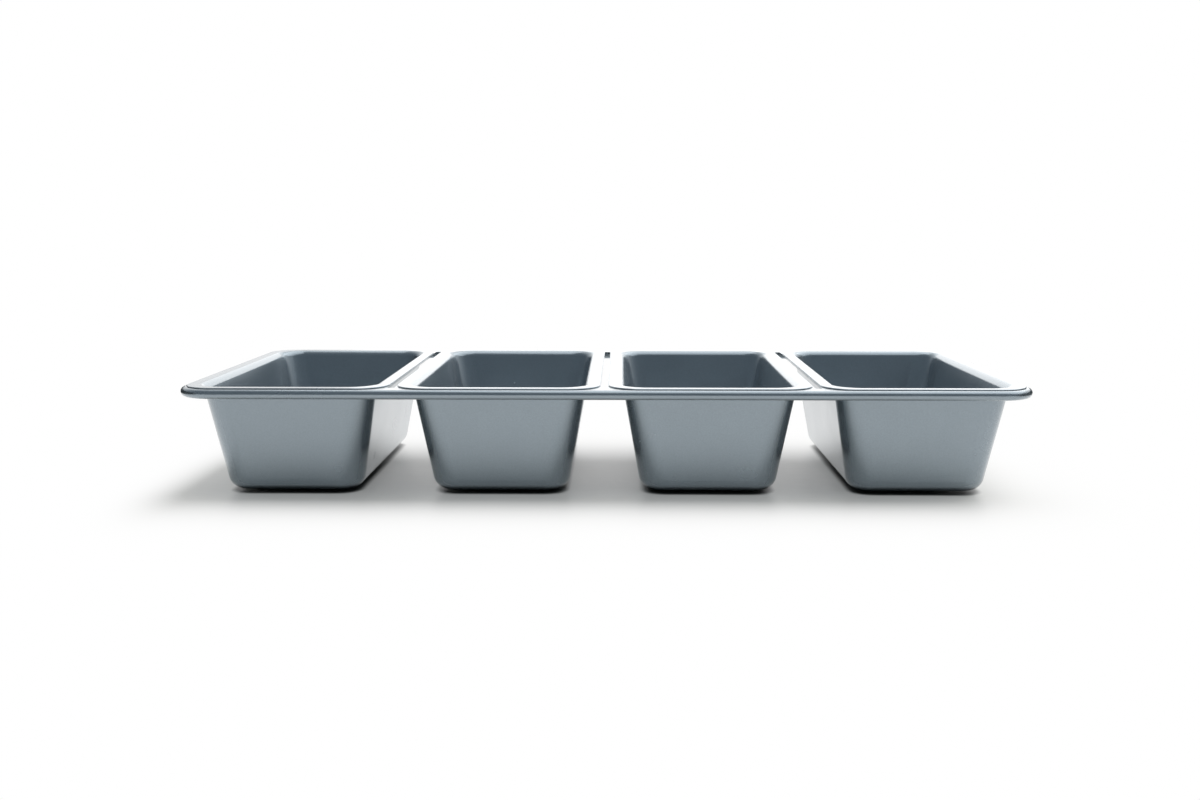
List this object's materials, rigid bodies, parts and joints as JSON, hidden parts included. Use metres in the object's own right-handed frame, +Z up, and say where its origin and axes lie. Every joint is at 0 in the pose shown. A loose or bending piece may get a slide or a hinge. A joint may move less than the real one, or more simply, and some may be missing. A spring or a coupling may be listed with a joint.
{
  "type": "linked loaf pan",
  "caption": "Row of small loaf pans with drafted walls, linked by a sheet frame with a wired, rolled rim.",
  "frame": {"origin": "on the surface that the pans stand on, under the middle of the frame", "axes": "+X along the row of pans, +Y from front to back, +Z up out of the pans' mouths"},
  "size_m": [0.3928, 0.1754, 0.051],
  "materials": {
    "non_stick_coating": "satin blue-grey non-stick coating on steel sheet",
    "rim_wire_steel": "plain drawn wire"
  },
  "bodies": {
    "root": {"frame": "non_stick_coating", "rim_wire": "rim_wire_steel", "loaf_pan_1": "non_stick_coating", "loaf_pan_2": "non_stick_coating", "loaf_pan_3": "non_stick_coating", "loaf_pan_4": "non_stick_coating"}
  },
  "joints": []
}
